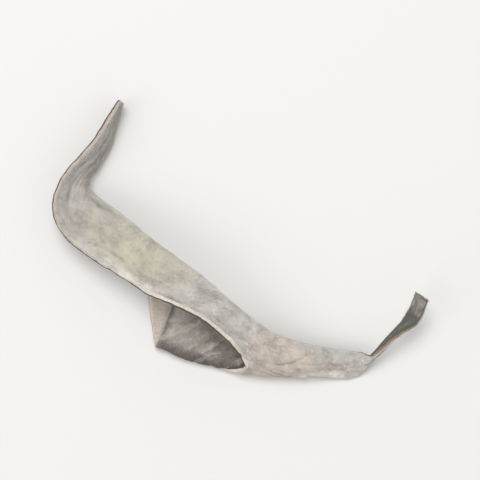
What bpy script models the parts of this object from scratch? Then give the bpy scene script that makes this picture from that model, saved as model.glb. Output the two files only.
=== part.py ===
"""A cut strip of dried wood ear mushroom, lying loose on a surface.

The strip is one piece. A narrow arm stands on its edge at one end and turns a corner into the
broad ribbon. The ribbon arches over the surface with its felted side up, and ends in a thin
twisted tip. Near the tip it forks, and the fork is rolled under it with the dark skin up. The
lengths below are in millimetres, and the mesh is in metres.
"""

import bmesh
import bpy
from mathutils import Vector

NAME = "wood_ear_strip"
MM = 0.001
THICKNESS = 0.42
SMOOTHING = 2
POINTS_ACROSS = 5

# Cross-sections of the ribbon from the arm's end to the tip. Each gives its edge on the inside
# of the corner, its edge on the outside, how high its middle is arched towards the felted side,
# and how far its outer edge flares back up.
SECTIONS = (
    ((-6.70, 9.95, 0.50), (-6.90, 10.05, 1.25), 0.05, 0.0),
    ((-7.00, 9.20, 0.14), (-7.30, 9.35, 1.60), 0.10, 0.0),
    ((-7.30, 8.20, -0.06), (-7.78, 8.40, 1.90), 0.16, 0.0),
    ((-7.62, 7.20, -0.06), (-8.45, 7.45, 2.10), 0.20, 0.0),
    ((-8.10, 6.25, 0.14), (-9.25, 6.50, 2.15), 0.22, 0.0),
    ((-8.60, 5.50, 0.52), (-10.15, 5.62, 2.10), 0.20, 0.0),
    ((-8.78, 5.00, 0.95), (-10.75, 4.45, 1.95), 0.20, 0.1),
    ((-8.45, 4.55, 1.35), (-10.90, 3.10, 1.65), 0.25, 0.3),
    ((-7.85, 4.00, 1.70), (-10.15, 1.85, 1.45), 0.35, 0.5),
    ((-6.45, 3.05, 2.20), (-8.50, 0.65, 1.60), 0.45, 0.5),
    ((-4.70, 1.55, 2.75), (-6.35, -0.62, 2.10), 0.48, 0.4),
    ((-2.65, 0.20, 3.00), (-4.18, -1.95, 2.42), 0.48, 0.2),
    ((-0.85, -1.35, 2.85), (-2.22, -2.80, 2.38), 0.45, 0.1),
    ((0.72, -2.68, 2.40), (-0.54, -3.86, 1.95), 0.42, 0.0),
    ((1.98, -3.68, 1.95), (0.75, -5.35, 1.50), 0.40, 0.0),
    ((3.00, -4.18, 1.60), (1.80, -6.02, 1.25), 0.38, 0.0),
    ((4.02, -4.50, 1.35), (2.95, -6.40, 1.02), 0.36, 0.0),
    ((5.05, -4.75, 1.15), (4.25, -6.40, 0.74), 0.32, 0.0),
    ((6.05, -4.95, 1.00), (5.78, -6.56, 0.20), 0.28, 0.0),
    ((6.95, -5.08, 0.95), (7.00, -6.66, -0.08), 0.22, 0.0),
    ((7.66, -5.06, 1.05), (7.86, -6.58, 0.02), 0.16, 0.0),
    ((8.06, -5.52, 1.24), (8.10, -6.02, 0.46), 0.06, 0.0),
    ((8.60, -5.32, 1.50), (8.48, -5.22, 0.94), 0.02, 0.0),
    ((9.28, -4.62, 1.76), (9.10, -4.44, 1.28), 0.02, 0.0),
    ((10.10, -4.02, 1.98), (9.76, -3.62, 1.60), 0.04, 0.0),
    ((11.06, -3.46, 2.14), (10.26, -2.84, 2.02), 0.10, 0.0),
    ((11.40, -2.64, 2.30), (10.54, -2.14, 2.32), 0.10, 0.0),
    ((11.58, -1.92, 2.44), (10.82, -1.42, 2.56), 0.04, 0.0),
)

# The fork grows from the outer edge of these sections, counted from the arm's end.
FORK_FIRST = 14
FORK_LAST = 17

# Rows of points from the fork's roll to its cut end, each from the open side to the side that
# lies hidden under the ribbon.
FORK_ROWS = (
    ((0.75, -6.08, 1.02), (1.82, -6.54, 0.80), (3.05, -6.70, 0.60), (4.38, -6.62, 0.46)),
    ((0.15, -6.34, 0.50), (1.38, -6.40, 0.30), (2.65, -6.25, 0.22), (4.05, -6.02, 0.24)),
    ((-0.80, -6.18, 0.32), (0.35, -5.70, 0.20), (1.50, -5.05, 0.22), (2.75, -4.70, 0.34)),
    ((-1.85, -5.96, 0.30), (-0.95, -5.05, 0.17), (-0.10, -4.15, 0.19), (0.90, -3.30, 0.38)),
    ((-2.85, -5.64, 0.34), (-2.25, -4.62, 0.13), (-1.78, -3.46, 0.16), (-1.15, -2.30, 0.44)),
    ((-3.85, -5.28, 0.38), (-3.60, -4.22, 0.11), (-3.50, -2.92, 0.14), (-3.25, -1.55, 0.48)),
    ((-4.74, -4.90, 0.48), (-4.96, -3.82, 0.17), (-5.14, -2.50, 0.20), (-5.32, -0.98, 0.52)),
)

FELT_COLOUR = (0.46, 0.42, 0.33, 1.0)
CUT_COLOUR = (0.62, 0.55, 0.44, 1.0)
SKIN_COLOUR = (0.045, 0.034, 0.033, 1.0)


def clear_scene():
    for item in list(bpy.data.objects):
        bpy.data.objects.remove(item, do_unlink=True)


def make_collection(name):
    group = bpy.data.collections.new(name)
    bpy.context.scene.collection.children.link(group)
    return group


def make_material(name, colour, roughness):
    material = bpy.data.materials.new(name)
    material.use_nodes = True
    shader = material.node_tree.nodes["Principled BSDF"]
    shader.inputs["Base Color"].default_value = colour
    shader.inputs["Roughness"].default_value = roughness
    shader.inputs["Metallic"].default_value = 0.0
    return material


def section_points(number):
    """The points across one section of the ribbon, arched from edge to edge."""
    inner, outer, arch, flare = SECTIONS[number]
    inner, outer = Vector(inner), Vector(outer)
    before = SECTIONS[max(number - 1, 0)]
    after = SECTIONS[min(number + 1, len(SECTIONS) - 1)]
    travel = Vector(after[0]) + Vector(after[1]) - Vector(before[0]) - Vector(before[1])
    felted_way = (outer - inner).cross(travel).normalized()
    points = []
    for column in range(POINTS_ACROSS):
        share = column / (POINTS_ACROSS - 1)
        rise = 4 * arch * share * (1 - share) + flare * share**6
        points.append(inner.lerp(outer, share) + felted_way * rise)
    return points


def add_ribbon(sheet):
    """Sets a grid to the sections, and returns its vertices along the outer edge."""
    rows = len(SECTIONS)
    bmesh.ops.create_grid(sheet, x_segments=POINTS_ACROSS - 1, y_segments=rows - 1, size=1.0)
    grid = sorted(sheet.verts, key=lambda vert: (round(vert.co.y, 6), vert.co.x))
    for row in range(rows):
        for column, point in enumerate(section_points(row)):
            grid[row * POINTS_ACROSS + column].co = point * MM
    return grid[POINTS_ACROSS - 1::POINTS_ACROSS]


def add_fork(sheet, root):
    """Grows the fork row by row out of the ribbon's edge at the given vertices."""
    last = root
    for points in FORK_ROWS:
        edges = [edge for edge in sheet.edges if set(edge.verts) <= set(last)]
        grown = set(bmesh.ops.extrude_edge_only(sheet, edges=edges)["geom"])
        row = [edge.other_vert(vert) for vert in last for edge in vert.link_edges
               if edge.other_vert(vert) in grown]
        for vert, point in zip(row, points):
            vert.co = Vector(point) * MM
        last = row


def build_middle_surface():
    """The coarse cage of the strip, half way through its thickness, felted side out."""
    sheet = bmesh.new()
    outer_edge = add_ribbon(sheet)
    add_fork(sheet, outer_edge[FORK_FIRST:FORK_LAST + 1])
    bmesh.ops.recalc_face_normals(sheet, faces=sheet.faces)
    top = max(sheet.faces, key=lambda face: face.calc_center_median().z)
    if top.normal.z < 0:
        bmesh.ops.reverse_faces(sheet, faces=sheet.faces)
    mesh = bpy.data.meshes.new(NAME)
    sheet.to_mesh(mesh)
    sheet.free()
    mesh.shade_smooth()
    return mesh


def make_strip(parts):
    mesh = build_middle_surface()
    mesh.materials.append(make_material("felted side", FELT_COLOUR, 0.95))
    mesh.materials.append(make_material("cut edge", CUT_COLOUR, 0.8))
    mesh.materials.append(make_material("dark skin", SKIN_COLOUR, 0.45))
    strip = bpy.data.objects.new(NAME, mesh)
    parts.objects.link(strip)
    smooth = strip.modifiers.new("smooth", "SUBSURF")
    smooth.levels = SMOOTHING
    smooth.render_levels = SMOOTHING
    smooth.boundary_smooth = "PRESERVE_CORNERS"
    wall = strip.modifiers.new("wall", "SOLIDIFY")
    wall.thickness = THICKNESS * MM
    wall.offset = 0.0
    wall.material_offset_rim = 1
    wall.material_offset = 2
    return strip


def centre_on_origin(strip):
    """Moves the strip so that the middle of its outline lies over the origin."""
    graph = bpy.context.evaluated_depsgraph_get()
    corners = [Vector(corner) for corner in strip.evaluated_get(graph).bound_box]
    low, high = corners[0], corners[6]
    strip.location = (-(low.x + high.x) / 2, -(low.y + high.y) / 2, 0.0)


def press_flat(strip, cutters):
    """Trims what reaches below z = 0, which leaves a small flat where the strip touches."""
    size = 40 * MM
    bpy.ops.mesh.primitive_cube_add(size=size, location=(0.0, 0.0, -size / 2))
    ground = bpy.context.active_object
    ground.name = "ground_cutter"
    ground.hide_render = True
    ground.display_type = "WIRE"
    for group in list(ground.users_collection):
        group.objects.unlink(ground)
    cutters.objects.link(ground)
    trim = strip.modifiers.new("press flat", "BOOLEAN")
    trim.operation = "DIFFERENCE"
    trim.solver = "EXACT"
    trim.object = ground


def main():
    clear_scene()
    parts = make_collection("dried_wood_ear_strip")
    cutters = make_collection("cutters")
    strip = make_strip(parts)
    centre_on_origin(strip)
    press_flat(strip, cutters)


main()
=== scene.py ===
"""Dried wood ear mushroom strip: felt, skin and cut edges in place of the frame's solid.

The strip's middle surface is a smooth sheet through its cross-sections. The sheet is creased, its
outline is made ragged, its edges are rolled, and it is waved and given an uneven thickness. Its
two faces are wrinkled apart from each other: the felted one in long ridges, the dark one in a net
of fine creases. Short hairs cover the felt.
Lengths in the tables and in the working arrays are in millimetres, and meshes are in metres.
"""

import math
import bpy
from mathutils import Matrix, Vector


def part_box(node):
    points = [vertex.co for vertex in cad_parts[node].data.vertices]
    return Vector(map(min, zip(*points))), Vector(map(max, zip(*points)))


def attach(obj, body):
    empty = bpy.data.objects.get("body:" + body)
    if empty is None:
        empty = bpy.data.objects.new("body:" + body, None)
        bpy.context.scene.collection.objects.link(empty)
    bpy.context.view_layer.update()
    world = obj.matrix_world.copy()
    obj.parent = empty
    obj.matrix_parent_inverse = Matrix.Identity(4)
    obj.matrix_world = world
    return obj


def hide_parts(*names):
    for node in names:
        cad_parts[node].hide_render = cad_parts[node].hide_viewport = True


bl_info = {
    "name": "Dried Wood Ear Strip",
    "version": (1, 0, 0),
    "blender": (4, 5, 0),
    "location": "View3D > Sidebar > Wood Ear",
    "description": "Builds a cut strip of dried wood ear mushroom with felt, skin and cut edges",
    "category": "Add Mesh",
}

import bmesh
import bpy
import numpy as np
from mathutils import Vector, kdtree, noise

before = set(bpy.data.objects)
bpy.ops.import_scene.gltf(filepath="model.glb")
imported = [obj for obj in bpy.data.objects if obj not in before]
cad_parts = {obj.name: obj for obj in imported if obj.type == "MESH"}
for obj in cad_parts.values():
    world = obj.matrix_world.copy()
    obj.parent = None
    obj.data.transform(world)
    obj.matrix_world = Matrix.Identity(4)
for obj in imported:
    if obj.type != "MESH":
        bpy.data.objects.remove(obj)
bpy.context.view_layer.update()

NODE = "wood_ear_strip"
BODY = "root"
STRIP = "forked_strip"
HAIRS = "felt_hairs"
MM = 0.001
SOLID_THICKNESS = 0.42
POINTS_ACROSS = 5

# How much of the strip's thickness lies on the felted side of its middle surface. The hairs fill
# the rest of the room that the solid has there.
FELT_SHARE = 0.31

# Distances across the strip from its middle. All of the ribbon lies within the first, and what
# lies beyond the second belongs to the fork.
RIBBON_WITHIN = 1.7
FORK_BEYOND = 3.0

# Hairs grow on the felt, and on the faces of the cut edge within this share of its depth.
HAIRY_SHARE = 0.34

# The side of each hair's patch in the baked image, as a share of the image.
BAKE_PATCH = 0.004

# Cross-sections of the ribbon from the arm's end to the tip, as in the frame's solid: the edge
# inside the corner, the edge outside it, the arch of the middle and the flare of the outer edge.
SECTIONS = (
    ((-6.70, 9.95, 0.50), (-6.90, 10.05, 1.25), 0.05, 0.0),
    ((-7.00, 9.20, 0.14), (-7.30, 9.35, 1.60), 0.10, 0.0),
    ((-7.30, 8.20, -0.06), (-7.78, 8.40, 1.90), 0.16, 0.0),
    ((-7.62, 7.20, -0.06), (-8.45, 7.45, 2.10), 0.20, 0.0),
    ((-8.10, 6.25, 0.14), (-9.25, 6.50, 2.15), 0.22, 0.0),
    ((-8.60, 5.50, 0.52), (-10.15, 5.62, 2.10), 0.20, 0.0),
    ((-8.78, 5.00, 0.95), (-10.75, 4.45, 1.95), 0.20, 0.1),
    ((-8.45, 4.55, 1.35), (-10.90, 3.10, 1.65), 0.25, 0.3),
    ((-7.85, 4.00, 1.70), (-10.15, 1.85, 1.45), 0.35, 0.5),
    ((-6.45, 3.05, 2.20), (-8.50, 0.65, 1.60), 0.45, 0.5),
    ((-4.70, 1.55, 2.75), (-6.35, -0.62, 2.10), 0.48, 0.4),
    ((-2.65, 0.20, 3.00), (-4.18, -1.95, 2.42), 0.48, 0.2),
    ((-0.85, -1.35, 2.85), (-2.22, -2.80, 2.38), 0.45, 0.1),
    ((0.72, -2.68, 2.40), (-0.54, -3.86, 1.95), 0.42, 0.0),
    ((1.98, -3.68, 1.95), (0.75, -5.35, 1.50), 0.40, 0.0),
    ((3.00, -4.18, 1.60), (1.80, -6.02, 1.25), 0.38, 0.0),
    ((4.02, -4.50, 1.35), (2.95, -6.40, 1.02), 0.36, 0.0),
    ((5.05, -4.75, 1.15), (4.25, -6.40, 0.74), 0.32, 0.0),
    ((6.05, -4.95, 1.00), (5.78, -6.56, 0.20), 0.28, 0.0),
    ((6.95, -5.08, 0.95), (7.00, -6.66, -0.08), 0.22, 0.0),
    ((7.66, -5.06, 1.05), (7.86, -6.58, 0.02), 0.16, 0.0),
    ((8.06, -5.52, 1.24), (8.10, -6.02, 0.46), 0.06, 0.0),
    ((8.60, -5.32, 1.50), (8.48, -5.22, 0.94), 0.02, 0.0),
    ((9.28, -4.62, 1.76), (9.10, -4.44, 1.28), 0.02, 0.0),
    ((10.10, -4.02, 1.98), (9.76, -3.62, 1.60), 0.04, 0.0),
    ((11.06, -3.46, 2.14), (10.26, -2.84, 2.02), 0.10, 0.0),
    ((11.40, -2.64, 2.30), (10.54, -2.14, 2.32), 0.10, 0.0),
    ((11.58, -1.92, 2.44), (10.82, -1.42, 2.56), 0.04, 0.0),
)

# The fork grows from the outer edge of these sections, counted from the arm's end.
FORK_FIRST = 14
FORK_LAST = 17

# Rows of points from the fork's roll to its cut end, from the open side to the hidden one.
FORK_ROWS = (
    ((0.75, -6.08, 1.02), (1.82, -6.54, 0.80), (3.05, -6.70, 0.60), (4.38, -6.62, 0.46)),
    ((0.15, -6.34, 0.50), (1.38, -6.40, 0.30), (2.65, -6.25, 0.22), (4.05, -6.02, 0.24)),
    ((-0.80, -6.18, 0.32), (0.35, -5.70, 0.20), (1.50, -5.05, 0.22), (2.75, -4.70, 0.34)),
    ((-1.85, -5.96, 0.30), (-0.95, -5.05, 0.17), (-0.10, -4.15, 0.19), (0.90, -3.30, 0.38)),
    ((-2.85, -5.64, 0.34), (-2.25, -4.62, 0.13), (-1.78, -3.46, 0.16), (-1.15, -2.30, 0.44)),
    ((-3.85, -5.28, 0.38), (-3.60, -4.22, 0.11), (-3.50, -2.92, 0.14), (-3.25, -1.55, 0.48)),
    ((-4.74, -4.90, 0.48), (-4.96, -3.82, 0.17), (-5.14, -2.50, 0.20), (-5.32, -0.98, 0.52)),
)

# How the ribbon's outer edge rolls up: a place among the sections, and there the edge's share of
# the roll's turn and of its width. The inner edge rolls down over the same width, and its share of
# the turn is the same all along.
ROLLS = (
    (4, 0.08, 0.7),
    (7, 0.17, 0.7),
    (10, 0.25, 0.7),
    (11.6, 1, 0.7),
    (13.2, 1, 1),
    (14.3, 0.17, 0.8),
    (17, 0.15, 0.7),
    (19, 0.3, 0.7),
    (20, 0, 0.7),
)
INNER_TURN = -0.15

# Creases pressed into the felt: from and to a place along and across the strip, depth and width.
CREASES = (
    ((22.5, 1.30), (24.5, 1.15), 0.13, 0.14),
    ((22.6, 0.80), (23.9, 0.15), 0.07, 0.15),
    ((23.3, 0.55), (24.6, -0.45), 0.04, 0.15),
    ((7.2, -1.15), (10.6, -1.30), 0.07, 0.16),
    ((5.6, -1.0), (12.5, -0.3), 0.04, 0.20),
    ((3.4, -0.2), (8.6, 0.7), 0.04, 0.22),
    ((8.8, 0.5), (13.4, 0.6), 0.03, 0.18),
    ((10.9, -0.7), (14.4, 0.1), 0.03, 0.15),
    ((25.2, -0.75), (28.2, -0.5), 0.04, 0.22),
    ((0.6, 0.0), (4.8, 0.5), 0.04, 0.15),
)


def screen(red, green, blue):
    """A colour as a screen shows it, 0 to 255, in the linear values that a shader takes."""
    return tuple(((value / 255 + 0.055) / 1.055) ** 2.4 for value in (red, green, blue)) + (1.0,)


def length_property(name, description, millimetres):
    return bpy.props.FloatProperty(name=name, description=description, min=0.0, precision=5,
                                   default=millimetres * MM, unit="LENGTH", subtype="DISTANCE")


def angle_property(name, description, degrees):
    return bpy.props.FloatProperty(name=name, description=description, min=0.0, max=math.pi,
                                   default=math.radians(degrees), unit="ROTATION",
                                   subtype="ANGLE")


def colour_property(name, description, colour):
    return bpy.props.FloatVectorProperty(name=name, description=description, default=colour,
                                         size=4, min=0.0, max=1.0, subtype="COLOR")


def share_property(name, description, value):
    return bpy.props.FloatProperty(name=name, description=description, default=value,
                                   min=0.0, max=1.0, subtype="FACTOR")


def count_property(name, description, value):
    return bpy.props.IntProperty(name=name, description=description, default=value, min=1)


class StripShape(bpy.types.PropertyGroup):
    smoothing: count_property("Smoothing", "Subdivisions of the sheet", 4)
    rim_steps: count_property("Rim steps", "Faces across the cut edge", 8)
    thickness: length_property("Thickness", "From the felt's base to the dark skin", 0.31)
    warp: length_property("Warp", "How far the whole sheet waves", 0.07)
    roll_width: length_property("Rolled width", "The most of the sheet's edge that rolls up", 0.86)
    roll_turn: angle_property("Roll", "How far the outer edge rolls over above the fork", 165)
    ragged: length_property("Raggedness", "How far the outline wanders", 0.06)
    slant: length_property("Slanted cut", "How wide the cut at the fork's end grows", 1.9)
    ridges: length_property("Felt ridges", "Height of the long ridges in the felt", 0.085)
    creases: length_property("Skin creases", "Depth of the creases in the dark skin", 0.06)


class FeltLook(bpy.types.PropertyGroup):
    # The corner's tint is darker in part as painted shade on the arm and the corner.
    corner: colour_property("Corner", "Felt on the arm and the corner", screen(195, 191, 184))
    olive: colour_property("Olive", "Felt where the ribbon is olive", screen(206, 201, 182))
    grey: colour_property("Grey", "Felt where the ribbon is grey", screen(218, 216, 211))
    rosy: colour_property("Rosy", "Felt above the fork", screen(222, 207, 194))
    # Inside the bend the felt is cooler and darker: partly its own tint, partly painted shade.
    cool_tint_and_shade: colour_property("Cool", "Felt inside the bend by the tip", screen(188, 192, 193))
    # Painted shade in the felt's valleys and creases, and the colour of its dark flecks.
    shade_and_fleck: colour_property("Valleys", "Felt between the ridges", screen(150, 141, 129))
    # The palest hairs' colour also paints the pale outer edge, which is partly painted light.
    tips: colour_property("Hair tips", "The palest hairs", screen(236, 233, 227))
    coats: count_property("Coats", "Pieces that the hairs are parted into", 2)
    hairs: count_property("Hairs", "Hairs in each coat, about", 47000)
    hair_length: length_property("Hair length", "A hair from root to tip", 0.12)
    hair_width: length_property("Hair width", "A hair across its root", 0.015)
    stray: share_property("Stray", "How far the hairs lean apart", 0.45)
    seed: count_property("Seed", "Another seed sets the hairs another way", 7)


class SkinLook(bpy.types.PropertyGroup):
    deep: colour_property("Skin", "The dark skin", screen(84, 75, 70))
    tip: colour_property("Tip", "The skin on the thin tip", screen(90, 91, 85))
    bloom: colour_property("Bloom", "Dusty bloom on the skin", screen(184, 176, 166))
    flesh: colour_property("Flesh", "Flesh in the cut edge", screen(228, 219, 206))
    seam: colour_property("Seam", "Flesh next to the skin", screen(120, 102, 88))


class StageLook(bpy.types.PropertyGroup):
    floor: colour_property("Floor", "The pale floor", screen(233, 232, 230))
    fill: share_property("Share of the frame", "How much of the frame the strip spans", 0.78)
    lens: bpy.props.FloatProperty(name="Lens", description="Focal length of the camera",
                                  default=120.0, min=1.0, unit="CAMERA")


class Wire:
    """A node's output that can stand in a sum, where each operation adds a Math node."""

    def __init__(self, tree, socket):
        self.tree = tree
        self.socket = socket

    def __add__(self, other):
        return self.tree.math("ADD", self, other)

    def __radd__(self, other):
        return self.tree.math("ADD", other, self)

    def __sub__(self, other):
        return self.tree.math("SUBTRACT", self, other)

    def __rsub__(self, other):
        return self.tree.math("SUBTRACT", other, self)

    def __mul__(self, other):
        return self.tree.math("MULTIPLY", self, other)

    def __rmul__(self, other):
        return self.tree.math("MULTIPLY", other, self)

    def rise(self, low, high):
        """0 where the value is under low, 1 where it is over high, and smooth between."""
        return self.tree.add("ShaderNodeMapRange", {"interpolation_type": "SMOOTHSTEP"},
                             {"Value": self, "From Min": low, "From Max": high})

    def output(self, name):
        """Another output of the same node."""
        return Wire(self.tree, self.socket.node.outputs[name])


class Tree:
    """A node tree, and the one way in which nodes are added to it."""

    def __init__(self, data):
        self.nodes = data.nodes
        self.links = data.links

    def add(self, kind, settings=None, inputs=None):
        """Adds a node, its settings first, and gives its first output."""
        node = self.nodes.new(kind)
        for name, value in (settings or {}).items():
            if name == "stops":
                self.set_stops(node.color_ramp, value)
            else:
                setattr(node, name, value)
        used = [socket for socket in node.inputs if socket.enabled]
        for key, value in (inputs or {}).items():
            found = [socket for place, socket in enumerate(used) if key in (place, socket.name)]
            if isinstance(value, Wire):
                self.links.new(value.socket, found[0])
            else:
                found[0].default_value = value
        shown = [socket for socket in node.outputs if socket.enabled]
        return Wire(self, shown[0]) if shown else None

    def set_stops(self, ramp, stops):
        while len(ramp.elements) < len(stops):
            ramp.elements.new(1.0)
        for element, (place, colour) in zip(ramp.elements, stops):
            element.position = place
            element.color = colour

    def math(self, operation, first, second):
        return self.add("ShaderNodeMath", {"operation": operation}, {0: first, 1: second})

    def vector(self, operation, first, second):
        return self.add("ShaderNodeVectorMath", {"operation": operation}, {0: first, 1: second})

    def mix(self, share, first, second):
        """A colour from first, where share is 0, to second, where it is 1."""
        return self.add("ShaderNodeMix", {"data_type": "RGBA"},
                        {"Factor": share, "A": first, "B": second})

    def grain(self, place, scale, detail=3.0, roughness=0.5, swirl=0.0):
        return self.add("ShaderNodeTexNoise", None,
                        {"Vector": place, "Scale": scale, "Detail": detail,
                         "Roughness": roughness, "Distortion": swirl})

    def place(self):
        return self.add("ShaderNodeTexCoord").output("Object")

    def chart(self, name):
        return self.add("ShaderNodeUVMap", {"uv_map": name})

    def value(self, name):
        return self.add("ShaderNodeAttribute", {"attribute_name": name}).output("Fac")


def unit(vectors):
    length = np.linalg.norm(vectors, axis=-1, keepdims=True)
    return vectors / np.maximum(length, 1e-12)


def field(places, scales, shift):
    """Smooth noise from -1 to 1 at each place, with a scale for each of its coordinates."""
    at = np.asarray(places) * np.asarray(scales) + shift
    return np.array([noise.noise(Vector(place)) for place in at])


def ridged(places, scales, shift):
    """Noise with sharp crests of 1 and broad valleys below 0."""
    return 1 - 2.6 * np.abs(field(places, scales, shift))


def read(items, name, width, kind=np.float32):
    """One value of each item as a row of an array."""
    values = np.empty(len(items) * width, kind)
    items.foreach_get(name, values)
    return values.reshape(-1, width)


def section_points(number):
    """The points across one section of the ribbon, arched from edge to edge."""
    inner, outer, arch, flare = SECTIONS[number]
    inner, outer = Vector(inner), Vector(outer)
    before = SECTIONS[max(number - 1, 0)]
    after = SECTIONS[min(number + 1, len(SECTIONS) - 1)]
    travel = Vector(after[0]) + Vector(after[1]) - Vector(before[0]) - Vector(before[1])
    felted_way = (outer - inner).cross(travel).normalized()
    points = []
    for column in range(POINTS_ACROSS):
        share = column / (POINTS_ACROSS - 1)
        rise = 4 * arch * share * (1 - share) + flare * share**6
        points.append(inner.lerp(outer, share) + felted_way * rise)
    return points


def section_places():
    """How far along the ribbon each section lies, measured along its middle."""
    middles = [section_points(number)[POINTS_ACROSS // 2] for number in range(len(SECTIONS))]
    places = [0.0]
    for before, after in zip(middles, middles[1:]):
        places.append(places[-1] + (after - before).length)
    return places


def numbered(places):
    """The sections' numbers and their places, between which others are read."""
    return range(len(places)), places


def add_ribbon(sheet, chart):
    """Sets a grid to the sections, and returns its vertices along the outer edge.

    chart takes each vertex's distance along the strip, and across it from the middle.
    """
    bmesh.ops.create_grid(sheet, x_segments=POINTS_ACROSS - 1, y_segments=len(SECTIONS) - 1,
                          size=1.0)
    grid = sorted(sheet.verts, key=lambda vert: (round(vert.co.y, 6), vert.co.x))
    for row, along in enumerate(section_places()):
        points = section_points(row)
        half = (points[-1] - points[0]).length / 2
        for column, point in enumerate(points):
            vert = grid[row * POINTS_ACROSS + column]
            vert.co = point * MM
            chart[vert] = along, half * (2 * column / (POINTS_ACROSS - 1) - 1)
    return grid[POINTS_ACROSS - 1::POINTS_ACROSS]


def add_fork(sheet, root, chart):
    """Grows the fork row by row out of the ribbon's edge at the given vertices."""
    last = root
    for points in FORK_ROWS:
        edges = [edge for edge in sheet.edges if set(edge.verts) <= set(last)]
        grown = set(bmesh.ops.extrude_edge_only(sheet, edges=edges)["geom"])
        row = [edge.other_vert(vert) for vert in last for edge in vert.link_edges
               if edge.other_vert(vert) in grown]
        for vert, before, point in zip(row, last, points):
            vert.co = Vector(point) * MM
            along, across = chart[before]
            chart[vert] = along, across + (vert.co - before.co).length / MM
        last = row


def smooth_sheet(levels):
    """The strip's middle surface as a fine open mesh, felted side out, with its chart."""
    sheet = bmesh.new()
    chart = {}
    outer_edge = add_ribbon(sheet, chart)
    add_fork(sheet, outer_edge[FORK_FIRST:FORK_LAST + 1], chart)
    bmesh.ops.recalc_face_normals(sheet, faces=sheet.faces)
    top = max(sheet.faces, key=lambda face: face.calc_center_median().z)
    if top.normal.z < 0:
        bmesh.ops.reverse_faces(sheet, faces=sheet.faces)
    layer = sheet.loops.layers.uv.new("strip")
    for face in sheet.faces:
        for corner in face.loops:
            corner[layer].uv = chart[corner.vert]
    mesh = bpy.data.meshes.new("sheet")
    sheet.to_mesh(mesh)
    sheet.free()
    cage = show(mesh, "sheet")
    smooth = cage.modifiers.new("smooth", "SUBSURF")
    smooth.levels = levels
    smooth.render_levels = levels
    smooth.boundary_smooth = "PRESERVE_CORNERS"
    graph = bpy.context.evaluated_depsgraph_get()
    fine = bpy.data.meshes.new_from_object(cage.evaluated_get(graph))
    bpy.data.objects.remove(cage, do_unlink=True)
    return fine


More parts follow.
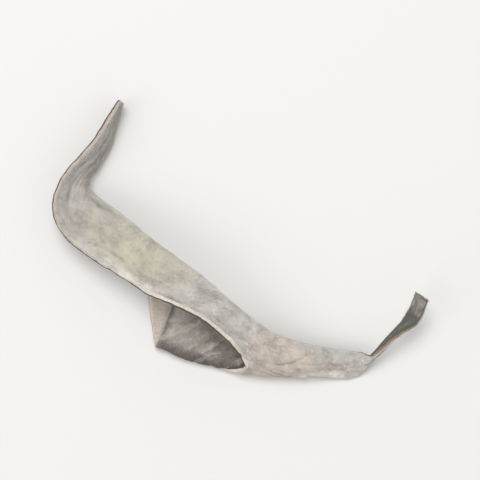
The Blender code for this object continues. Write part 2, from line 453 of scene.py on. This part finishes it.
class Sheet:
    """The fine middle surface as arrays, in millimetres."""

    def __init__(self, mesh):
        self.points = read(mesh.vertices, "co", 3).astype(float) / MM
        self.normals = read(mesh.vertex_normals, "vector", 3).astype(float)
        corners = read(mesh.loops, "vertex_index", 1, np.int32)
        self.quads = corners.reshape(-1, 4)
        self.chart = np.zeros((len(self.points), 2))
        self.chart[corners[:, 0]] = read(mesh.uv_layers["strip"].uv, "vector", 2)
        self.find_rim()
        self.find_along()

    def find_rim(self):
        """The open edges as their faces run, and how far and which way the outside is."""
        ahead = np.stack([self.quads, np.roll(self.quads, -1, 1)], 2).reshape(-1, 2)
        ahead = ahead.astype(np.int64)
        count = len(self.points)
        keys = ahead[:, 0] * count + ahead[:, 1]
        turned = ahead[:, 1] * count + ahead[:, 0]
        self.rim_edges = ahead[~np.isin(keys, turned)]
        self.rim = np.unique(self.rim_edges)
        tree = kdtree.KDTree(len(self.rim))
        for number in self.rim:
            tree.insert(self.points[number], int(number))
        tree.balance()
        found = [tree.find(point) for point in self.points]
        self.edge = np.array([distance for place, number, distance in found])
        self.nearest = np.array([number for place, number, distance in found])
        self.find_outward()

    def find_outward(self):
        """The way out over the rim, in the sheet, from the rim's nearest point."""
        run = self.points[self.rim_edges[:, 1]] - self.points[self.rim_edges[:, 0]]
        facing = np.zeros_like(self.points)
        for end in (0, 1):
            number = self.rim_edges[:, end]
            np.add.at(facing, number, np.cross(run, self.normals[number]))
        self.outward = unit(facing[self.nearest])

    def find_along(self):
        """The direction at each point in which the strip runs, from how its chart lies."""
        corners, chart = self.points[self.quads], self.chart[self.quads]
        one, two = corners[:, 2] - corners[:, 0], corners[:, 3] - corners[:, 1]
        a, b = chart[:, 2] - chart[:, 0], chart[:, 3] - chart[:, 1]
        turn = a[:, :1] * b[:, 1:] - a[:, 1:] * b[:, :1]
        run = (one * b[:, 1:] - two * a[:, 1:]) * np.sign(turn)
        self.along = np.zeros_like(self.points)
        for corner in range(4):
            np.add.at(self.along, self.quads[:, corner], run)
        self.along = unit(self.along)
        self.across = unit(np.cross(self.normals, self.along))

    def flat_chart(self):
        """The chart with a third, empty coordinate, for noise that follows the strip."""
        return np.column_stack([self.chart, np.zeros(len(self.chart))])

    def centre(self):
        """Moves the sheet over the origin, as the frame's solid is."""
        low, high = (np.array(corner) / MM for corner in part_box(NODE))
        half = self.normals * SOLID_THICKNESS / 2
        reach = np.concatenate([self.points + half, self.points - half])
        shift = (low + high - reach.min(0) - reach.max(0)) / 2
        self.points += shift * (1, 1, 0)

    def rag(self, amount):
        """Moves the outline in and out, as a knife and drying leave it."""
        slow = field(self.points, (0.75, 0.75, 0.75), 3.7)
        quick = field(self.points, (2.6, 2.6, 2.6), 8.1)
        nick = np.clip(field(self.points, (1.3, 1.3, 1.3), 21.4) - 0.38, 0, 1) * -5.0
        reach = np.exp(-(self.edge / 0.35) ** 2)
        move = (0.8 * slow + 0.45 * quick + nick) * reach * amount
        self.points += self.outward * move[:, None]
        self.renew()

    def renew(self):
        """Works the normals and the way out over the rim out again for moved points."""
        corners = self.points[self.quads]
        facing = np.cross(corners[:, 2] - corners[:, 0], corners[:, 3] - corners[:, 1])
        self.normals = np.zeros_like(self.points)
        for corner in range(4):
            np.add.at(self.normals, self.quads[:, corner], facing)
        self.normals = unit(self.normals)
        self.find_outward()

    def roll(self, width, turn):
        """Rolls the outer edge up, and right over above the fork, and the inner edge down."""
        sections, turn_shares, width_shares = zip(*ROLLS)
        along, across = self.chart.T
        spots = np.interp(sections, *numbered(section_places()))
        up = np.interp(along, spots, turn_shares) * (across < RIBBON_WITHIN)
        turns = np.where(across > 0, up, INNER_TURN) * turn
        turns *= 1 + 0.25 * field(self.points, (0.5, 0.5, 0.5), 33.1)
        wide = width * np.interp(along, spots, width_shares)
        rate = np.where(np.abs(turns) < 0.001, 0.001, turns) / wide
        arc = np.clip(wide - self.edge, 0, None)
        out = np.sin(rate * arc) / rate - arc
        over = (1 - np.cos(rate * arc)) / rate
        self.points += self.outward * out[:, None] + self.normals * over[:, None]
        self.renew()

    def wave(self, amount):
        """Waves the whole sheet gently, more towards its edges."""
        slow = field(self.points, (0.42, 0.42, 0.42), 5.2)
        flutter = field(self.points, (1.15, 1.15, 1.15), 15.9)
        near = np.exp(-self.edge / 0.5)
        move = (0.7 * slow + (0.3 + 0.7 * near) * flutter) * amount
        self.points += self.normals * move[:, None]
        self.renew()

    def fold(self):
        """Presses the creases into the sheet, and keeps how deep each point lies in one."""
        self.crease = np.zeros(len(self.points))
        bend = field(self.flat_chart(), (0.55, 0.25, 1), 24.6)
        bent = self.chart + 0.28 * bend[:, None] * (0.0, 1.0)
        uneven = 1 + 0.6 * field(self.points, (0.9, 0.9, 0.9), 27.3)
        for start, end, depth, width in CREASES:
            start, run = np.array(start), np.subtract(end, start)
            share = np.clip((bent - start) @ run / (run @ run), 0, 1)
            apart = bent - start - share[:, None] * run
            taper = np.sin(np.pi * np.clip(share, 0.02, 0.98)) ** 0.8
            pressed = np.exp(-(np.hypot(*apart.T) / (width * (0.5 + 0.5 * taper))) ** 2)
            pressed *= taper * uneven
            self.points -= self.normals * (pressed * depth)[:, None]
            self.crease = np.maximum(self.crease, pressed * min(depth / 0.12, 1))
        self.renew()

    def felt_relief(self):
        """Long ridges and fine tufts of the felted side, from about -1 to 1."""
        chart = self.flat_chart()
        chart[:, 1] += 0.35 * field(chart, (0.5, 0.4, 1), 2.2)
        long = ridged(chart, (0.16, 1.15, 1), 4.4)
        fine = ridged(chart, (0.5, 3.0, 1), 9.3)
        tufts = field(self.points, (3.4, 3.4, 3.4), 1.8)
        return 0.55 * long + 0.3 * fine + 0.25 * tufts - 0.8 * self.crease

    def skin_relief(self):
        """A net of creases in the dark skin, from about -1 to 1."""
        bend = 0.5 * field(self.points, (0.8, 0.8, 0.8), 6.6)
        swept = self.flat_chart() + bend[:, None] * (1.0, 0.6, 0.0)
        net = -ridged(swept, (0.55, 1.2, 1), 12.2)
        fine = -ridged(self.points, (2.2, 2.2, 2.2), 17.5)
        crepe = -ridged(swept, (1.5, 4.0, 1), 22.8)
        return 0.45 * net + 0.3 * fine + 0.25 * crepe

    def local_thickness(self, thickness):
        """The strip's thickness at each point, less towards the cut edges."""
        uneven = 1 + 0.14 * field(self.points, (0.6, 0.6, 0.6), 30.3)
        rim = 1 - 0.14 * np.exp(-self.edge / 0.12)
        return thickness * uneven * rim

    def slant(self, width):
        """How each skin point moves so that the fork's end is cut aslant, and how near it is."""
        way = unit(np.subtract(FORK_ROWS[-1][1], FORK_ROWS[-2][1]))
        along, across = self.chart.T
        on_fork = across > FORK_BEYOND
        end = self.rim[(self.outward[self.rim] @ way > 0.5) & on_fork[self.rim]]
        end = end[np.argsort(along[end])]
        gap = np.interp(along, along[end], across[end]) - across
        hidden = (along - along[end[0]]) / (along[end[-1]] - along[end[0]])
        wide = width * np.clip(hidden, 0, 1)
        move = wide * np.clip(1 - gap / (2 * width), 0, 1) * on_fork
        near = np.exp(-np.clip(gap, 0, None) / 0.7) * on_fork
        return -way * move[:, None], near

    def comb(self):
        """Which way the hairs lie at each point: up, along and in slow swirls."""
        swirl = 1.3 * field(self.points, (0.9, 0.9, 0.9), 40.4)
        lie = self.along * np.cos(swirl)[:, None] + self.across * np.sin(swirl)[:, None]
        out = self.outward * np.exp(-(self.edge / 0.16) ** 2)[:, None]
        return unit(0.45 * self.normals + 0.8 * lie + 0.5 * out)

    def fur(self):
        """How long the hairs are at each point, as a share of their full length."""
        patches = 0.95 + 0.5 * field(self.points, (1.6, 1.6, 1.6), 50.2)
        return np.clip(patches, 0.4, 1.3) * (1 - 0.35 * np.exp(-(self.edge / 0.1) ** 2))


def wrap(sheet, shape):
    """The closed strip: its points, quads, the surface each quad is on, and point values."""
    thick = sheet.local_thickness(shape.thickness / MM)
    felt, skin = sheet.felt_relief(), sheet.skin_relief()
    calm = (1 - 0.6 * np.exp(-sheet.edge / 0.1)) / MM
    above = FELT_SHARE * thick + felt * calm * shape.ridges
    below = (1 - FELT_SHARE) * thick + skin * calm * shape.creases
    top = sheet.points + sheet.normals * above[:, None]
    low = sheet.points - sheet.normals * below[:, None]
    move, near_end = sheet.slant(shape.slant / MM)
    low += move
    count, rim = len(top), sheet.rim
    points = [top, low]
    layers = [np.zeros(count), np.ones(count)]
    reliefs = [felt, skin]
    rings = [rim]
    for step in range(1, shape.rim_steps):
        share = step / shape.rim_steps
        between = top[rim] * (1 - share) + low[rim] * share
        charted = np.column_stack([sheet.chart[rim], np.full(len(rim), share)])
        fibre = field(charted, (6, 6, 1.5), 2.5)
        fray = 0.7 * fibre + 0.5 * field(between, (4.0, 4.0, 4.0), 2.5)
        bulge = 0.045 * fray - 0.03 * math.sin(math.pi * share)
        rings.append(2 * count + (step - 1) * len(rim) + np.arange(len(rim)))
        points.append(between + sheet.outward[rim] * bulge[:, None])
        layers.append(np.full(len(rim), share))
        reliefs.append(fray)
    rings.append(rim + count)
    first, second = np.searchsorted(rim, sheet.rim_edges).T
    quads, surfaces = [sheet.quads, sheet.quads[:, ::-1] + count], [0, 2]
    for upper, lower in zip(rings, rings[1:]):
        quads.append(np.column_stack([upper[second], upper[first], lower[first], lower[second]]))
        surfaces.append(1)
    kinds = np.concatenate([np.full(len(part), kind) for part, kind in zip(quads, surfaces)])
    source = np.concatenate([np.arange(count)] * 2 + [rim] * (shape.rim_steps - 1))
    values = {"layer": np.concatenate(layers), "relief": np.concatenate(reliefs),
              "edge": sheet.edge[source], "near_end": near_end[source],
              "fur": sheet.fur()[source], "comb": sheet.comb()[source]}
    return np.concatenate(points), np.concatenate(quads), kinds, values, sheet.chart[source]


def rest_on_floor(points):
    """Presses flat what would reach below the surface that the strip lies on."""
    soft = 0.03
    height = points[:, 2]
    pressed = soft * np.exp(np.minimum(height / soft, 1) - 1)
    points[:, 2] = np.where(height < soft, pressed, height)


def show(mesh, name):
    piece = bpy.data.objects.new(name, mesh)
    bpy.context.scene.collection.objects.link(piece)
    return piece


def set_values(mesh, values, chart):
    """Stores the point values on the mesh, and the chart as its UV map."""
    for name, numbers in values.items():
        kind, key = ("FLOAT", "value") if numbers.ndim == 1 else ("FLOAT_VECTOR", "vector")
        layer = mesh.attributes.new(name, kind, "POINT")
        layer.data.foreach_set(key, numbers.astype(np.float32).ravel())
    corners = read(mesh.loops, "vertex_index", 1, np.int32)[:, 0]
    layer = mesh.uv_layers.new(name="strip")
    layer.uv.foreach_set("vector", chart[corners].astype(np.float32).ravel())


def new_material(name):
    material = bpy.data.materials.new(name)
    material.use_nodes = True
    material.node_tree.nodes.clear()
    return material, Tree(material.node_tree)


def add_shader(tree, inputs, height=None, strength=0.5, depth=0.03):
    """Adds the shader with its socket values, bumped by a height where one is given."""
    if height is not None:
        bump = {"Height": height, "Strength": strength, "Distance": depth * MM}
        inputs = {**inputs, "Normal": tree.add("ShaderNodeBump", None, bump)}
    shader = tree.add("ShaderNodeBsdfPrincipled", None, inputs)
    tree.add("ShaderNodeOutputMaterial", None, {"Surface": shader})


def felt_colour(tree, look, chart, place):
    """The felt's colour along the strip: soft blotches, dark flecks and a pale outer edge, partly
    painted light.
    """
    places = section_places()
    along = tree.add("ShaderNodeSeparateXYZ", None, {"Vector": chart})
    across = along.output("Y")
    blotch = tree.grain(place, 420.0, 3.0, 0.55)
    share = (along + (blotch - 0.5) * 5.0) * (1 / places[-1])
    # Up to the corner the felt takes the corner's tint, which is darker in part as painted shade.
    tints = ((7.6, look.corner), (9.2, look.olive), (10.5, look.olive), (12, look.grey),
             (13.5, look.grey), (15, look.rosy), (18, look.rosy), (22, look.grey))
    stops = [(np.interp(number, *numbered(places)) / places[-1], tint[:])
             for number, tint in tints]
    colour = tree.add("ShaderNodeValToRGB", {"stops": stops}, {"Fac": share})
    # Inside the bend by the tip the felt is made cooler and darker: a tint, and painted shade.
    inside = (0 - across).rise(-0.1, 1.1) * along.rise(places[15], places[17])
    colour = tree.mix(inside * 0.8, colour, look.cool_tint_and_shade[:])
    fleck = tree.grain(place, 2600.0, 2.0, 0.6)
    colour = tree.mix(fleck.rise(0.52, 0.74) * 0.3, colour, look.shade_and_fleck[:])
    # The pale outer edge is partly wear and partly painted light over the shade of the rolled edge.
    rim_tone = (1 - tree.value("edge").rise(0.20, 0.90)) * along.rise(places[8], places[9])
    outer = across.rise(0.1, 0.5) * (1 - across.rise(1.5, 1.7))
    return tree.mix(rim_tone * outer * 0.7, colour, look.tips[:])


def felt_material(look):
    material, tree = new_material("pale felt")
    chart, place = tree.chart("strip"), tree.place()
    colour = felt_colour(tree, look, chart, place)
    # Painted shade: the felt darkens where its relief is low, in valleys and creases.
    shade = 1 - tree.value("relief").rise(-0.55, 0.45)
    colour = tree.mix(shade * 0.4, colour, look.shade_and_fleck[:])
    combed = tree.vector("MULTIPLY", chart, (1.0, 5.6, 1.0))
    fibres = tree.grain(combed, 2.6, 4.0, 0.65, 0.4)
    add_shader(tree, {"Base Color": colour, "Roughness": 0.95, "Specular IOR Level": 0.2,
                      "Sheen Weight": 0.2, "Sheen Roughness": 0.5}, fibres, strength=0.55)
    return material


def skin_material(look):
    """The dark skin under a dusty bloom.

    The bloom is thin in creases, by the edges and on the tip, and under the ribbon as painted
    shade.
    It thickens towards the fork's cut end and the tip's far end.
    """
    material, tree = new_material("dark skin")
    place = tree.place()
    places = section_places()
    strip = tree.add("ShaderNodeSeparateXYZ", None, {"Vector": tree.chart("strip")})
    tip = strip.rise(places[20], places[22])
    across = strip.output("Y")
    end = across.rise(2.5, 10.5)
    # Painted shade: the bloom thins on the fork's face under the ribbon's edge.
    under = (strip - across.rise(2.5, 12.0) * 1.9).rise(places[15] - 0.6, places[15] + 0.2)
    under = under * across.rise(1.3, 1.8)
    cloud = tree.grain(place, 700.0, 8.0, 0.7, 0.3)
    dust = tree.grain(place, 9000.0, 4.0, 0.75)
    high, inside = tree.value("relief").rise(-0.6, 0.4), tree.value("edge").rise(0.05, 0.75)
    bloom = high * 0.42 + inside * 0.38 + end * 0.22 - tip * 0.15 - under * 0.10
    bloom = bloom + tree.value("near_end") * 0.15 + strip.rise(places[25], places[27]) * 0.45
    bloom = bloom + (cloud - 0.5) * 0.9 + (dust - 0.5) * 0.7
    colour = tree.mix(tip, look.deep[:], look.tip[:])
    colour = tree.mix(bloom.rise(0.0, 1.0), colour, look.bloom[:])
    wrinkle = tree.grain(place, 2600.0, 8.0, 0.68, 0.6)
    rough = tree.grain(place, 900.0, 3.0, 0.6) * 0.3 + 0.38
    add_shader(tree, {"Base Color": colour, "Roughness": rough, "Specular IOR Level": 0.4},
               wrinkle, strength=0.9, depth=0.06)
    return material


def edge_material(look, felt):
    """The cut edge from side to side: felt, cream fibrous flesh, a dark seam and the skin."""
    material, tree = new_material("cut edge")
    chart, place = tree.chart("strip"), tree.place()
    pale = felt_colour(tree, felt, chart, place)
    depth = tree.value("layer")
    layer = depth + (tree.grain(place, 1800.0, 5.0, 0.65) - 0.5) * 0.30
    depths = tree.add("ShaderNodeCombineXYZ", None, {"Z": depth * 0.25})
    fibres = tree.grain(tree.vector("ADD", chart, depths), 8.0, 6.0, 0.7, 0.2)
    specks = tree.grain(place, 7000.0, 4.0, 0.7)
    strip = tree.add("ShaderNodeSeparateXYZ", None, {"Vector": chart})
    places = section_places()
    dull = (1 - strip.rise(places[7], places[10])) * 0.4 + strip.output("Y").rise(2.0, 5.0) * 0.35
    dull = dull + strip.rise(places[20], places[22]) * 0.8
    rim_tone = fibres.rise(0.42, 0.72) * 0.3 + specks.rise(0.52, 0.80) * 0.2 + dull
    flesh = tree.mix(rim_tone, look.flesh[:], look.seam[:])
    colour = tree.mix(layer.rise(0.04, 0.20), pale, flesh)
    steep = 1 - tree.value("near_end") * 0.85
    colour = tree.mix(layer.rise(0.64, 0.82) * steep, colour, look.seam[:])
    colour = tree.mix(layer.rise(0.80, 0.94) * steep, colour, look.deep[:])
    add_shader(tree, {"Base Color": colour, "Roughness": 0.8, "Specular IOR Level": 0.3},
               fibres + specks * 0.5, strength=0.8, depth=0.05)
    return material


def hair_material(look):
    """Hairs in the felt's colour at their roots, some of them paler, and darker in valleys as
    painted shade.
    """
    material, tree = new_material("felt hairs")
    chart, place = tree.chart("root"), tree.place()
    colour = felt_colour(tree, look, chart, place)
    each = tree.grain(chart, 9.0, 2.0, 0.5)
    colour = tree.mix(each.rise(0.42, 0.70) * 0.4, colour, look.tips[:])
    # Painted shade: the hairs darken in the felt's valleys and creases.
    shade = 1 - tree.value("relief").rise(-0.6, 0.35)
    colour = tree.mix(shade * 0.5, colour, look.shade_and_fleck[:])
    add_shader(tree, {"Base Color": colour, "Roughness": 0.85, "Specular IOR Level": 0.25,
                      "Sheen Weight": 0.15})
    return material


def hair_nodes(material):
    """Nodes that stand a spike on each of many points of the felt and comb it."""
    group = bpy.data.node_groups.new("felt hairs", "GeometryNodeTree")
    group.interface.new_socket("Geometry", in_out="INPUT", socket_type="NodeSocketGeometry")
    for name in ("Density", "Length", "Width", "Stray"):
        group.interface.new_socket(name, in_out="INPUT", socket_type="NodeSocketFloat")
    group.interface.new_socket("Seed", in_out="INPUT", socket_type="NodeSocketInt")
    group.interface.new_socket("Geometry", in_out="OUTPUT", socket_type="NodeSocketGeometry")
    tree = Tree(group)
    given = tree.add("NodeGroupInput")
    seed = given.output("Seed")
    points = tree.add("GeometryNodeDistributePointsOnFaces", {"distribute_method": "RANDOM"},
                      {"Mesh": given, "Density": given.output("Density"), "Seed": seed})
    comb = tree.add("GeometryNodeInputNamedAttribute", {"data_type": "FLOAT_VECTOR"},
                    {"Name": "comb"})
    lean = tree.add("FunctionNodeRandomValue", {"data_type": "FLOAT_VECTOR"},
                    {"Min": (-1.0, -1.0, -1.0), "Max": (1.0, 1.0, 1.0), "Seed": seed})
    lean = tree.add("ShaderNodeVectorMath", {"operation": "SCALE"},
                    {0: lean, "Scale": given.output("Stray")})
    turn = tree.add("FunctionNodeAlignRotationToVector", {"axis": "Z"},
                    {"Vector": tree.vector("ADD", comb, lean)})
    spike = tree.add("GeometryNodeMeshCone", {"fill_type": "NGON"},
                     {"Vertices": 3, "Radius Top": 0.0, "Depth": given.output("Length"),
                      "Radius Bottom": given.output("Width") * 0.5})
    fur = tree.add("GeometryNodeInputNamedAttribute", {"data_type": "FLOAT"}, {"Name": "fur"})
    size = tree.add("FunctionNodeRandomValue", {"data_type": "FLOAT"},
                    {"Min": 0.55, "Max": 1.25, "Seed": seed}) * fur
    hairs = tree.add("GeometryNodeInstanceOnPoints", None,
                     {"Points": points, "Instance": spike, "Rotation": turn, "Scale": size})
    hairs = tree.add("GeometryNodeRealizeInstances", None, {"Geometry": hairs})
    hairs = tree.add("GeometryNodeSetMaterial", None, {"Geometry": hairs, "Material": material})
    tree.add("NodeGroupOutput", None, {"Geometry": hairs})
    return group


def run_nodes(emitter, group, values):
    """The plain mesh that the nodes make on the emitter, with their inputs set by name."""
    nodes = emitter.modifiers.new("nodes", "NODES")
    nodes.node_group = group
    for item in group.interface.items_tree:
        if item.in_out == "INPUT" and item.name in values:
            nodes[item.identifier] = values[item.name]
    graph = bpy.context.evaluated_depsgraph_get()
    mesh = bpy.data.meshes.new_from_object(emitter.evaluated_get(graph))
    emitter.modifiers.remove(nodes)
    return mesh


def felted_part(strip):
    """An object of the strip's felt alone, with the chart on its points as root, and its area."""
    felt = bmesh.new()
    felt.from_mesh(strip.data)
    layer = felt.verts.layers.float["layer"]
    bare = [face for face in felt.faces
            if max(vert[layer] for vert in face.verts) > HAIRY_SHARE]
    bmesh.ops.delete(felt, geom=bare, context="FACES")
    root = felt.verts.layers.float_vector.new("root")
    chart = felt.loops.layers.uv["strip"]
    for face in felt.faces:
        for corner in face.loops:
            corner.vert[root] = (*corner[chart].uv, 0.0)
    area = sum(face.calc_area() for face in felt.faces)
    mesh = bpy.data.meshes.new("felt")
    felt.to_mesh(mesh)
    felt.free()
    return show(mesh, "felt"), area


def chart_hairs(mesh):
    """Gives the hairs two UV maps, and drops the point values that their material doesn't read.

    One map has where each hair's root lies. The other is for a baked image, in which each face
    has a small patch at its root's place.
    """
    corners = read(mesh.loops, "vertex_index", 1, np.int32)[:, 0]
    root = read(mesh.attributes["root"].data, "vector", 3)[corners, :2]
    layer = mesh.uv_layers.new(name="root")
    layer.uv.foreach_set("vector", root.ravel())
    starts = read(mesh.polygons, "loop_start", 1, np.int32)[:, 0]
    turn = np.arange(len(corners)) - np.repeat(starts, np.diff([*starts, len(corners)]))
    spread = np.column_stack([turn == 1, turn == 2]) * BAKE_PATCH
    span = root.max(0) - root.min(0)
    layer = mesh.uv_layers.new(name="OFBake")
    flat = (root - root.min(0)) / span * (1 - BAKE_PATCH) + spread
    layer.uv.foreach_set("vector", flat.astype(np.float32).ravel())
    for name in ("root", "comb", "fur", "layer", "near_end"):
        helper = mesh.attributes.get(name)
        if helper and helper.domain == "POINT":
            mesh.attributes.remove(helper)


class WOODEAR_OT_strip(bpy.types.Operator):
    """Builds the forked strip with its two faces and its cut edges"""

    bl_idname = "wood_ear.strip"
    bl_label = "Add forked strip"

    def execute(self, context):
        scene = context.scene
        shape = scene.wood_ear_shape
        sheet = Sheet(smooth_sheet(shape.smoothing))
        sheet.centre()
        sheet.fold()
        sheet.rag(shape.ragged / MM)
        sheet.roll(shape.roll_width / MM, shape.roll_turn)
        sheet.wave(shape.warp / MM)
        points, quads, kinds, values, chart = wrap(sheet, shape)
        rest_on_floor(points)
        mesh = bpy.data.meshes.new(STRIP)
        mesh.from_pydata((points * MM).tolist(), [], quads.tolist())
        mesh.shade_smooth()
        set_values(mesh, values, chart)
        mesh.polygons.foreach_set("material_index", kinds.astype(np.int32))
        for material in (felt_material(scene.wood_ear_felt),
                         edge_material(scene.wood_ear_skin, scene.wood_ear_felt),
                         skin_material(scene.wood_ear_skin)):
            mesh.materials.append(material)
        strip = show(mesh, STRIP)
        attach(strip, BODY)
        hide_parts(NODE)
        return {"FINISHED"}


class WOODEAR_OT_hairs(bpy.types.Operator):
    """Covers the strip's felted side in short hairs"""

    bl_idname = "wood_ear.hairs"
    bl_label = "Add felt hairs"

    def execute(self, context):
        look = context.scene.wood_ear_felt
        emitter, area = felted_part(bpy.data.objects[STRIP])
        group = hair_nodes(hair_material(look))
        for coat in range(look.coats):
            mesh = run_nodes(emitter, group, {
                "Density": look.hairs / area, "Length": look.hair_length,
                "Width": look.hair_width, "Stray": look.stray, "Seed": look.seed + coat,
            })
            chart_hairs(mesh)
            points = read(mesh.vertices, "co", 3)
            points[:, 2] = np.maximum(points[:, 2], 0.0)
            mesh.vertices.foreach_set("co", points.ravel())
            hairs = show(mesh, f"{HAIRS}_{coat + 1}")
            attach(hairs, BODY)
        bpy.data.objects.remove(emitter, do_unlink=True)
        return {"FINISHED"}


class WOODEAR_OT_stage(bpy.types.Operator):
    """Sets up the pale floor, the soft light and the camera over the strip"""

    bl_idname = "wood_ear.stage"
    bl_label = "Set up the stage"

    def execute(self, context):
        look = context.scene.wood_ear_stage
        self.add_floor(look)
        self.add_light("key", (-0.03, 0.11, 0.26), size=0.16, power=0.41)
        self.add_light("fill", (-0.20, -0.10, 0.22), size=0.26, power=0.20)
        self.set_world(context.scene, strength=0.56)
        self.add_camera(context.scene, look)
        return {"FINISHED"}

    def add_floor(self, look):
        """Lays the floor just under zero height, where the lowest hairs lie."""
        drop = 0.01 * MM
        flat = bmesh.new()
        bmesh.ops.create_grid(flat, x_segments=1, y_segments=1, size=1.5)
        bmesh.ops.translate(flat, verts=flat.verts, vec=(0.0, 0.0, -drop))
        mesh = bpy.data.meshes.new("floor")
        flat.to_mesh(mesh)
        flat.free()
        material, tree = new_material("pale floor")
        add_shader(tree, {"Base Color": look.floor[:], "Roughness": 0.9,
                          "Specular IOR Level": 0.1})
        mesh.materials.append(material)
        show(mesh, "floor")

    def add_light(self, name, place, size, power):
        lamp = bpy.data.lights.new(name, "AREA")
        lamp.shape = "DISK"
        lamp.size = size
        lamp.energy = power
        light = bpy.data.objects.new(name, lamp)
        light.location = place
        light.rotation_euler = (-Vector(place)).to_track_quat("-Z", "Y").to_euler()
        bpy.context.scene.collection.objects.link(light)

    def set_world(self, scene, strength):
        world = bpy.data.worlds.new("soft white")
        world.use_nodes = True
        sky = world.node_tree.nodes["Background"]
        sky.inputs["Color"].default_value = (1.0, 1.0, 1.0, 1.0)
        sky.inputs["Strength"].default_value = strength
        scene.world = world
        scene.view_settings.view_transform = "Standard"

    def add_camera(self, scene, look):
        low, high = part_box(NODE)
        lens = bpy.data.cameras.new("overhead")
        lens.lens = look.lens
        lens.clip_start = MM
        lens.clip_end = 10.0
        width = (high.x - low.x) / look.fill
        height = width * lens.lens / lens.sensor_width
        camera = bpy.data.objects.new("overhead", lens)
        camera.location = ((low.x + high.x) / 2, (low.y + high.y) / 2, high.z / 2 + height)
        scene.collection.objects.link(camera)
        scene.camera = camera


STEPS = (WOODEAR_OT_strip, WOODEAR_OT_hairs, WOODEAR_OT_stage)
SETTINGS = {"wood_ear_shape": StripShape, "wood_ear_felt": FeltLook,
            "wood_ear_skin": SkinLook, "wood_ear_stage": StageLook}


class VIEW3D_PT_wood_ear(bpy.types.Panel):
    """Lists the sizes and colours, and the steps that use them"""

    bl_idname = "VIEW3D_PT_wood_ear"
    bl_label = "Dried wood ear strip"
    bl_space_type = "VIEW_3D"
    bl_region_type = "UI"
    bl_category = "Wood Ear"

    def draw(self, context):
        for name, settings in SETTINGS.items():
            box = self.layout.box()
            for key in settings.__annotations__:
                box.prop(getattr(context.scene, name), key)
        for step in STEPS:
            self.layout.operator(step.bl_idname)


def register():
    for kind in (*SETTINGS.values(), *STEPS, VIEW3D_PT_wood_ear):
        bpy.utils.register_class(kind)
    for name, kind in SETTINGS.items():
        setattr(bpy.types.Scene, name, bpy.props.PointerProperty(type=kind))


def unregister():
    for name in SETTINGS:
        delattr(bpy.types.Scene, name)
    for kind in (VIEW3D_PT_wood_ear, *STEPS, *SETTINGS.values()):
        bpy.utils.unregister_class(kind)


def main():
    register()
    bpy.ops.wood_ear.strip()
    bpy.ops.wood_ear.hairs()
    bpy.ops.wood_ear.stage()


if __name__ == "__main__":
    main()
